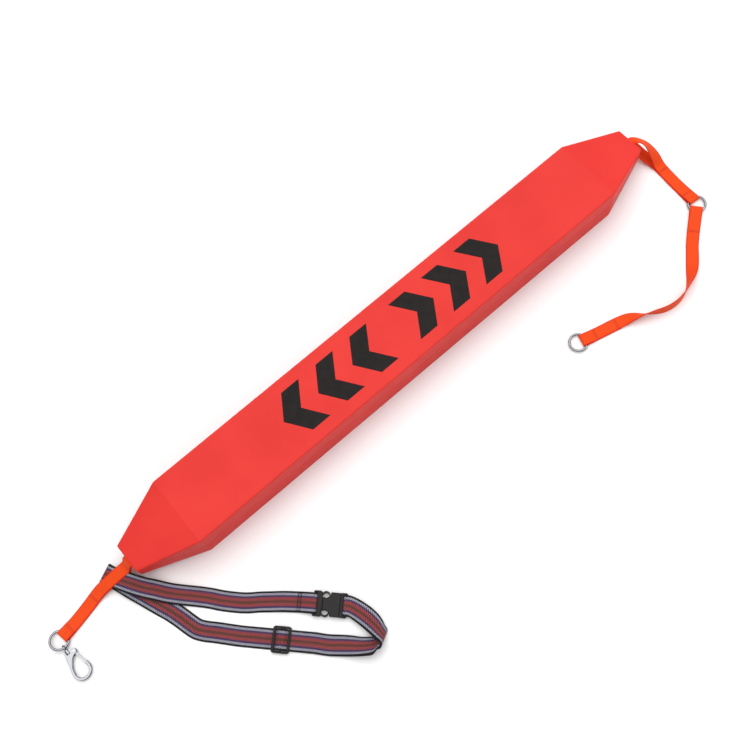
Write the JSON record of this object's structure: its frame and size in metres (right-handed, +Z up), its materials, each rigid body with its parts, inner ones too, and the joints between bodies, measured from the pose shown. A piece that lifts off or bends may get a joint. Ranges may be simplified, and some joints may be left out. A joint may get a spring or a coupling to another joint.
{
  "type": "rescue tube",
  "caption": "Long foam float with wedge ends, webbing straps, D-rings, a snap hook, a leash and a waist belt with a side-release buckle.",
  "frame": {"origin": "under the middle of the float, on its flat underside", "axes": "+X along the float from the snap hook end to the leash end, +Z up out of the printed top face, +Y towards the side away from the belt"},
  "size_m": [1.5382, 0.4937, 0.086],
  "materials": {
    "foam": "satin vinyl-dipped foam skin",
    "orange_webbing": "woven 25 mm webbing",
    "orange_thread": "bonded thread",
    "belt_webbing": "striped 38 mm webbing",
    "belt_thread": "bonded thread",
    "chrome_hardware": "polished",
    "steel_hardware": "brushed",
    "black_plastic": "moulded acetal"
  },
  "bodies": {
    "tube": {"foam_upper_half": "foam", "foam_lower_half": "foam", "core_webbing": "orange_webbing", "near_strap": "orange_webbing", "near_strap_stitching": "orange_thread", "far_strap": "orange_webbing", "far_strap_stitching": "orange_thread", "leash_strap": "orange_webbing", "leash_stitching": "orange_thread", "belt_front_webbing": "belt_webbing", "belt_stitching": "belt_thread", "belt_rear_webbing": "belt_webbing", "belt_slide_webbing": "belt_webbing", "belt_anchor_loop": "belt_webbing", "buckle_male_frame": "black_plastic"},
    "near_ring": {"near_d_ring": "chrome_hardware"},
    "hook_eye": {"hook_swivel_eye": "chrome_hardware"},
    "hook": {"hook_body": "chrome_hardware", "hook_gate_pin": "steel_hardware", "hook_gate_spring": "steel_hardware"},
    "hook_gate": {"hook_gate": "chrome_hardware"},
    "middle_ring": {"middle_d_ring": "chrome_hardware"},
    "end_ring": {"end_d_ring": "chrome_hardware"},
    "buckle_female": {"buckle_female_housing": "black_plastic"},
    "left_arm": {"buckle_left_arm": "black_plastic"},
    "right_arm": {"buckle_right_arm": "black_plastic"},
    "slide": {"slide_adjuster": "black_plastic"}
  },
  "joints": [
    {"name": "near_ring_hinge", "type": "hinge", "parent": "tube", "child": "near_ring", "pos_m": [-0.8226, -0.0185, 0.00465], "axis": [-0.1736, 0.9848, 0], "range_deg": [0, 80]},
    {"name": "hook_eye_hinge", "type": "hinge", "parent": "near_ring", "child": "hook_eye", "pos_m": [-0.83221, -0.0377, 0.00691], "axis": [-1, 0, 0], "range_deg": [0, 70]},
    {"name": "hook_swivel", "type": "hinge", "parent": "hook_eye", "child": "hook", "pos_m": [-0.83221, -0.0381, 0.00689], "axis": [0, -0.9991, -0.0419], "continuous": true},
    {"name": "hook_gate_hinge", "type": "hinge", "parent": "hook", "child": "hook_gate", "pos_m": [-0.82161, -0.05359, 0.00624], "axis": [0, 0.0419, -0.9991], "range_deg": [0, 28], "stiffness_Nm_per_rad": 0.02, "springref_deg": -28.65},
    {"name": "middle_ring_hinge", "type": "hinge", "parent": "tube", "child": "middle_ring", "pos_m": [0.6643, -0.1672, 0.00465], "axis": [-0.9945, 0.1045, 0], "range_deg": [0, 60], "deforming": ["leash_strap"]},
    {"name": "end_ring_hinge", "type": "hinge", "parent": "tube", "child": "end_ring", "pos_m": [0.2846, -0.2367, 0.00465], "axis": [0.2924, 0.9563, 0], "range_deg": [0, 110]},
    {"name": "buckle_release", "type": "slide", "parent": "tube", "child": "buckle_female", "axis": [0.6947, -0.7193, 0], "range_m": [0, 0.04], "deforming": ["belt_rear_webbing", "buckle_left_arm", "buckle_right_arm"]},
    {"name": "left_arm_squeeze", "type": "hinge", "parent": "tube", "child": "left_arm", "pos_m": [-0.41431, -0.27887, 0.0065], "axis": [0, 0, -1], "range_deg": [0, 11], "stiffness_Nm_per_rad": 0.6, "springref_deg": -2.86},
    {"name": "right_arm_squeeze", "type": "hinge", "parent": "tube", "child": "right_arm", "pos_m": [-0.43388, -0.29777, 0.0065], "axis": [0, 0, 1], "range_deg": [0, 11], "stiffness_Nm_per_rad": 0.6, "springref_deg": -2.86},
    {"name": "adjuster_slide", "type": "slide", "parent": "tube", "child": "slide", "axis": [0.6947, -0.7193, 0], "range_m": [-0.02, 0.02], "deforming": ["belt_slide_webbing", "belt_anchor_loop"]}
  ]
}
